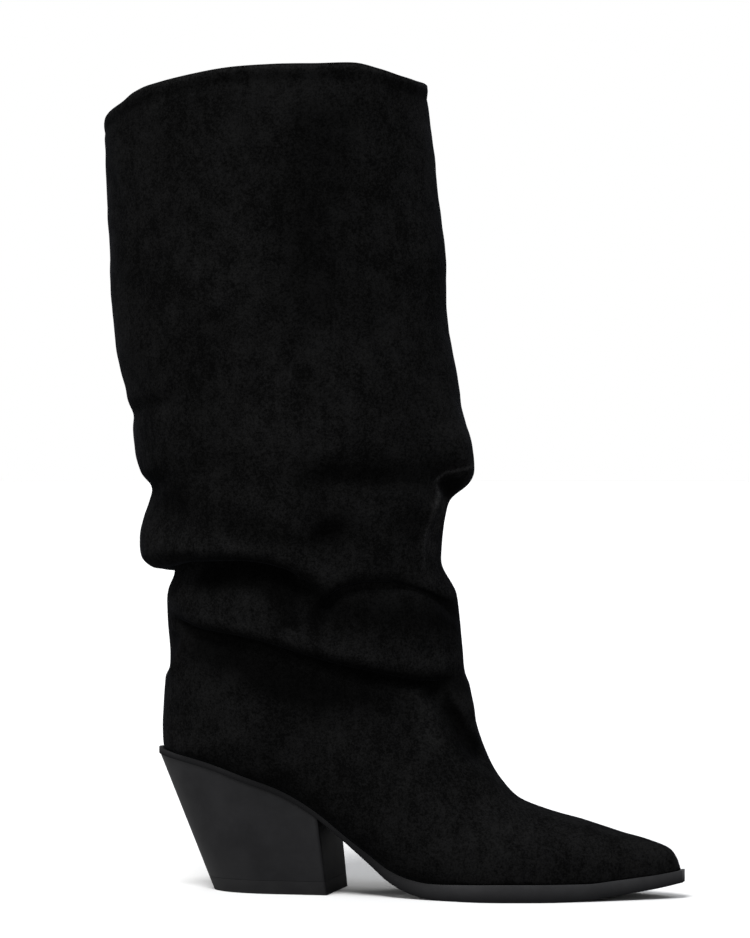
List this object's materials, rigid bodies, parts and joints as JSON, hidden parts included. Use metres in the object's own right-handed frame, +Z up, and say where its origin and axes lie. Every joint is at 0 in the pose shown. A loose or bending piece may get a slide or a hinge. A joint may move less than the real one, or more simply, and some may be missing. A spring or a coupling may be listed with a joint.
{
  "type": "slouched high boot",
  "caption": "Black suede slouched knee-high pull-on boot for the right foot, with a pointed toe, a thin dark sole and a slanted block heel.",
  "frame": {"origin": "centre of the boot's box in plan, on the floor plane that the heel tip and the tread rest on", "axes": "+X towards the toe, +Y towards the inner side of the foot, +Z up the shaft"},
  "size_m": [0.2936, 0.109, 0.4106],
  "materials": {
    "suede": "napped black suede, soft and matt",
    "lining": "plain black textile lining, matt",
    "sole": "satin black synthetic sole, edge smooth",
    "heel": "satin black lacquered heel block",
    "top_lift": "satin black rubber heel tip",
    "insole": "smooth dark sock, matt"
  },
  "bodies": {
    "root": {"outsole": "sole", "heel": "heel", "top_lift": "top_lift", "insole": "insole", "upper": "suede"}
  },
  "joints": []
}
